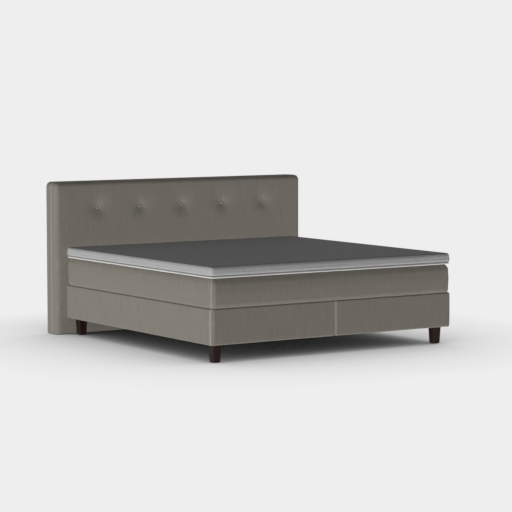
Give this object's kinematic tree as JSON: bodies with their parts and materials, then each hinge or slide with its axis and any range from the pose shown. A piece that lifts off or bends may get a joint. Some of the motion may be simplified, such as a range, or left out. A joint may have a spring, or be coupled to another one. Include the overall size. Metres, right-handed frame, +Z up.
{
  "type": "box spring bed",
  "caption": "Box spring bed: upholstered box bases on tapered wooden feet, a mattress, a piped topper and a padded headboard with tufting buttons.",
  "frame": {"origin": "on the floor, under the centre of the whole bed's bounding box", "axes": "+X across the bed to the right as seen from the foot end, +Y towards the headboard, +Z up"},
  "size_m": [2.156, 2.1506, 1.116],
  "materials": {
    "upholstery": "plain greige weave with fine upright slubs",
    "topper_panel": "mid-grey stretch knit",
    "topper_border": "light grey spacer mesh",
    "piping": "pale corded piping",
    "dark_wood": "dark stained, satin lacquer",
    "timber": "planed softwood",
    "board": "particle board",
    "foam": "open-cell polyurethane foam",
    "pocket_springs": "non-woven pockets round steel springs",
    "non_slip_cloth": "dark non-slip cloth",
    "dust_cloth": "black non-woven cloth",
    "felt": "brown felt",
    "twine": "waxed tufting twine",
    "zinc_steel": "zinc plated"
  },
  "bodies": {
    "bed_frame": {"left_base_cover": "upholstery", "left_base_top_cloth": "non_slip_cloth", "left_base_dust_cloth": "dust_cloth", "left_base_foam_case": "foam", "left_base_spring_unit": "pocket_springs", "left_base_outer_rail": "timber", "left_base_inner_rail": "timber", "left_base_head_rail": "timber", "left_base_foot_rail": "timber", "left_base_cross_bars": "timber", "left_base_corner_blocks": "timber", "left_foot_outer_foot_end": "dark_wood", "left_foot_outer_head_end": "dark_wood", "left_foot_inner_middle": "dark_wood", "left_foot_inner_head_end": "dark_wood", "right_base_cover": "upholstery", "right_base_top_cloth": "non_slip_cloth", "right_base_dust_cloth": "dust_cloth", "right_base_foam_case": "foam", "right_base_spring_unit": "pocket_springs", "right_base_outer_rail": "timber", "right_base_inner_rail": "timber", "right_base_head_rail": "timber", "right_base_foot_rail": "timber", "right_base_cross_bars": "timber", "right_base_corner_blocks": "timber", "right_foot_outer_foot_end": "dark_wood", "right_foot_outer_head_end": "dark_wood", "right_foot_inner_middle": "dark_wood", "right_foot_inner_head_end": "dark_wood", "foot_studs": "zinc_steel", "floor_glides": "felt", "tee_nuts": "zinc_steel", "coupling_plates": "zinc_steel", "coupling_screws": "zinc_steel", "headboard_cover": "upholstery", "headboard_foam": "foam", "headboard_board": "board", "headboard_back_cloth": "dust_cloth", "headboard_left_post": "timber", "headboard_right_post": "timber", "headboard_top_rail": "timber", "headboard_bottom_rail": "timber", "headboard_fixing_rail": "timber", "headboard_left_upright": "timber", "headboard_right_upright": "timber", "headboard_buttons": "upholstery", "headboard_button_twines": "twine", "headboard_button_washers": "zinc_steel", "headboard_bolts": "zinc_steel", "headboard_bolt_washers": "zinc_steel"},
    "mattress": {"mattress_cover": "upholstery", "mattress_bottom_foam": "foam", "mattress_spring_core": "pocket_springs", "mattress_top_foam": "foam"},
    "topper": {"topper_top_panel": "topper_panel", "topper_border": "topper_border", "topper_core": "foam", "topper_piping": "piping"}
  },
  "joints": [
    {"name": "mattress_lift", "type": "slide", "parent": "bed_frame", "child": "mattress", "axis": [0, 0, 1], "range_m": [0, 0.8]},
    {"name": "topper_lift", "type": "slide", "parent": "mattress", "child": "topper", "axis": [0, 0, 1], "range_m": [0, 0.6]}
  ]
}
